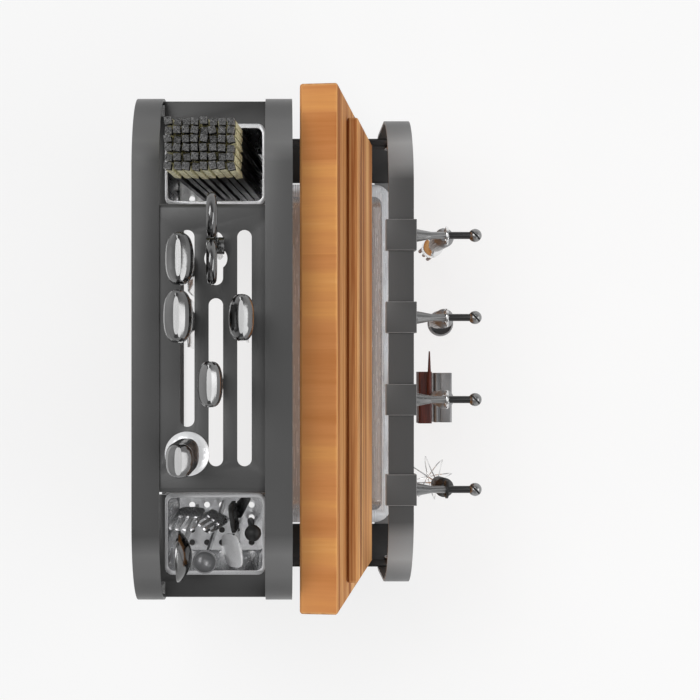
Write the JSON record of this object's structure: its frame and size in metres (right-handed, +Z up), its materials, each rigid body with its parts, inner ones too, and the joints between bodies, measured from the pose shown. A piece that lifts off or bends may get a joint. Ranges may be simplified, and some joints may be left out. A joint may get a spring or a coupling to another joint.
{
  "type": "kitchen rack",
  "caption": "Free-standing steel kitchen rack with slotted knife plate, lift-out baskets, pull-out drip tray, leaning cutting boards and sliding hooks with hanging tools.",
  "frame": {"origin": "centre of the bounding box on the counter plane, under the rubber feet", "axes": "+X along the rack, from the cutlery basket to the chopstick basket; -Y to the front with the hooks; +Z up"},
  "size_m": [0.417, 0.281, 0.4198],
  "materials": {
    "frame_paint": "satin powder coat",
    "plate_paint": "satin powder coat",
    "foot_rubber": "matte",
    "screw_steel": "bright",
    "tray_steel": "brushed stainless steel",
    "stainless": "polished stainless steel",
    "lacquer": "black lacquer with pale ends",
    "black_plastic": "matte",
    "board_wood": "oiled hardwood strips",
    "thin_board_wood": "oiled hardwood",
    "hook_paint": "satin powder coat",
    "bristle": "fibre bundle",
    "red_block": "stained wood"
  },
  "bodies": {
    "rack": {"rear_loop": "frame_paint", "middle_loop": "frame_paint", "front_loop": "frame_paint", "knife_plate": "plate_paint", "basket_holder_left": "plate_paint", "basket_holder_right": "plate_paint", "base_plate_left": "frame_paint", "base_plate_right": "frame_paint", "rubber_feet": "foot_rubber", "holder_screws": "screw_steel", "base_screws": "screw_steel"},
    "tray": {"drip_tray": "tray_steel"},
    "left_basket": {"cutlery_basket": "stainless"},
    "right_basket": {"chopstick_basket": "stainless"},
    "chopstick_bundle": {"chopsticks": "lacquer"},
    "cutlery": {"table_fork": "stainless", "dessert_fork": "stainless", "serving_spoon": "stainless", "small_ladle": "stainless", "peeler": "black_plastic", "cake_server": "stainless", "bulb_brush": "black_plastic"},
    "thick_board": {"cutting_board": "board_wood"},
    "front_board": {"thin_board": "thin_board_wood"},
    "knife_1": {"knife_1_blade": "stainless", "knife_1_handle": "stainless"},
    "knife_2": {"knife_2_blade": "stainless", "knife_2_handle": "stainless"},
    "knife_3": {"knife_3_blade": "stainless", "knife_3_handle": "stainless"},
    "knife_4": {"knife_4_blade": "stainless", "knife_4_handle": "stainless"},
    "scissors": {"scissors_left_half": "stainless", "scissors_pivot": "stainless"},
    "scissors_half": {"scissors_right_half": "stainless"},
    "honing_steel": {"steel_rod": "stainless", "steel_guard": "stainless", "steel_grip": "stainless"},
    "hook_1": {"hook_clip_1": "hook_paint", "hook_arm_1": "hook_paint"},
    "hook_2": {"hook_clip_2": "hook_paint", "hook_arm_2": "hook_paint"},
    "hook_3": {"hook_clip_3": "hook_paint", "hook_arm_3": "hook_paint"},
    "hook_4": {"hook_clip_4": "hook_paint", "hook_arm_4": "hook_paint"},
    "basting_brush": {"brush_handle": "stainless", "brush_ferrule": "stainless", "brush_bristles": "bristle"},
    "hanging_ladle": {"ladle": "stainless"},
    "scraper": {"scraper_blade": "stainless", "scraper_grip": "red_block"},
    "whisk": {"whisk_grip": "black_plastic", "whisk_wires": "stainless"}
  },
  "joints": [
    {"name": "tray_slide", "type": "slide", "parent": "rack", "child": "tray", "axis": [0, -1, 0], "range_m": [0, 0.11]},
    {"name": "left_basket_lift", "type": "slide", "parent": "rack", "child": "left_basket", "axis": [0, 0, 1], "range_m": [0, 0.16]},
    {"name": "right_basket_lift", "type": "slide", "parent": "rack", "child": "right_basket", "axis": [0, 0, 1], "range_m": [0, 0.16]},
    {"name": "chopsticks_lift", "type": "slide", "parent": "right_basket", "child": "chopstick_bundle", "axis": [0, 0, 1], "range_m": [0, 0.15]},
    {"name": "cutlery_lift", "type": "slide", "parent": "left_basket", "child": "cutlery", "axis": [0, 0, 1], "range_m": [0, 0.15]},
    {"name": "thick_board_lift", "type": "slide", "parent": "rack", "child": "thick_board", "axis": [0, 0.1392, 0.9903], "range_m": [0, 0.22]},
    {"name": "thin_board_lift", "type": "slide", "parent": "rack", "child": "front_board", "axis": [0, 0.1392, 0.9903], "range_m": [0, 0.17]},
    {"name": "knife_1_lift", "type": "slide", "parent": "rack", "child": "knife_1", "axis": [0, 0, 1], "range_m": [0, 0.17]},
    {"name": "knife_2_lift", "type": "slide", "parent": "rack", "child": "knife_2", "axis": [0, 0, 1], "range_m": [0, 0.185]},
    {"name": "knife_3_lift", "type": "slide", "parent": "rack", "child": "knife_3", "axis": [0, 0, 1], "range_m": [0, 0.13]},
    {"name": "knife_4_lift", "type": "slide", "parent": "rack", "child": "knife_4", "axis": [0, 0, 1], "range_m": [0, 0.115]},
    {"name": "scissors_lift", "type": "slide", "parent": "rack", "child": "scissors", "axis": [0, 0, 1], "range_m": [0, 0.12]},
    {"name": "scissors_open", "type": "hinge", "parent": "scissors", "child": "scissors_half", "pos_m": [0.07725, 0.07645, 0.3043], "axis": [0, 1, 0], "range_deg": [0, 10]},
    {"name": "honing_steel_lift", "type": "slide", "parent": "rack", "child": "honing_steel", "axis": [0, 0, 1], "range_m": [0, 0.2]},
    {"name": "hook_1_slide", "type": "slide", "parent": "rack", "child": "hook_1", "axis": [1, 0, 0], "range_m": [-0.015, 0.02]},
    {"name": "basting_brush_swing", "type": "hinge", "parent": "hook_1", "child": "basting_brush", "pos_m": [0.0958, -0.1115, 0.189], "axis": [0, 1, 0], "range_deg": [-3, 3]},
    {"name": "hook_2_slide", "type": "slide", "parent": "rack", "child": "hook_2", "axis": [1, 0, 0], "range_m": [-0.008, 0.015]},
    {"name": "hanging_ladle_swing", "type": "hinge", "parent": "hook_2", "child": "hanging_ladle", "pos_m": [0.0274, -0.1115, 0.189], "axis": [0, 1, 0], "range_deg": [-3, 3]},
    {"name": "hook_3_slide", "type": "slide", "parent": "rack", "child": "hook_3", "axis": [1, 0, 0], "range_m": [-0.002, 0.01]},
    {"name": "scraper_swing", "type": "hinge", "parent": "hook_3", "child": "scraper", "pos_m": [-0.041, -0.1115, 0.189], "axis": [0, 1, 0], "range_deg": [-3, 3]},
    {"name": "hook_4_slide", "type": "slide", "parent": "rack", "child": "hook_4", "axis": [1, 0, 0], "range_m": [-0.008, 0.008]},
    {"name": "whisk_swing", "type": "hinge", "parent": "hook_4", "child": "whisk", "pos_m": [-0.1159, -0.1115, 0.189], "axis": [0, 1, 0], "range_deg": [-3, 3]}
  ]
}
